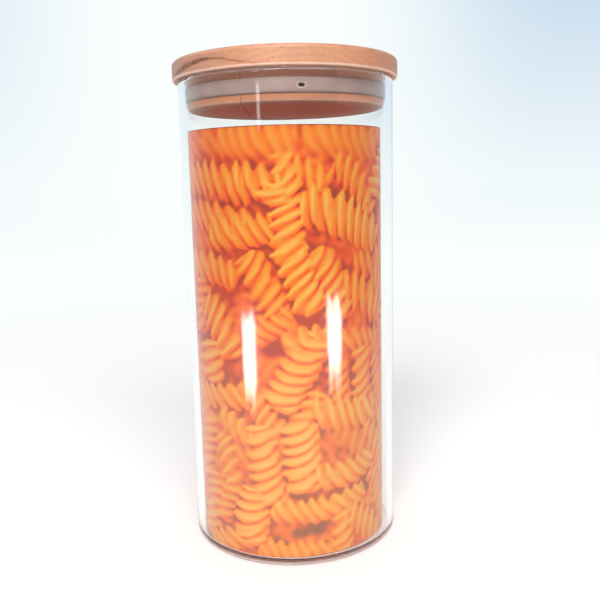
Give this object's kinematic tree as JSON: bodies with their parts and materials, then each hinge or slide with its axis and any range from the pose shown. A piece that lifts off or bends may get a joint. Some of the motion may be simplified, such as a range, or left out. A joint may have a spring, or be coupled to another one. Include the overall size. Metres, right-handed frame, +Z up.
{
  "type": "food canister",
  "caption": "Tall glass cylinder canister with a round wooden plug lid, a silicone sealing ring and a rolled printed paper sleeve inside.",
  "frame": {"origin": "centre of the jar's foot, on the surface it stands on", "axes": "+Z up along the jar's axis, front towards -Y, glue lines of the lid run along Y"},
  "size_m": [0.104, 0.104, 0.2244],
  "materials": {
    "glass": "clear, fire-polished",
    "printed_paper": "satin print, white inside",
    "silicone": "matt, translucent",
    "wood": "fine sanded, oiled"
  },
  "bodies": {
    "jar": {"glass_jar": "glass"},
    "sleeve": {"printed_sleeve": "printed_paper"},
    "ring": {"silicone_ring": "silicone"},
    "lid": {"plug_stave_left": "wood", "plug_stave_middle": "wood", "plug_stave_right": "wood", "lid_stave_left": "wood", "lid_stave_middle": "wood", "lid_stave_right": "wood"}
  },
  "joints": [
    {"name": "lid_lift", "type": "slide", "parent": "jar", "child": "ring", "axis": [0, 0, 1], "range_m": [0, 0.12]},
    {"name": "lid_twist", "type": "hinge", "parent": "ring", "child": "lid", "pos_m": [0, 0, 0.216], "axis": [0, 0, 1], "continuous": true},
    {"name": "sleeve_turn", "type": "hinge", "parent": "jar", "child": "sleeve", "pos_m": [-0.00105, -0.0009, 0.0027], "axis": [0, 0, 1], "continuous": true}
  ]
}
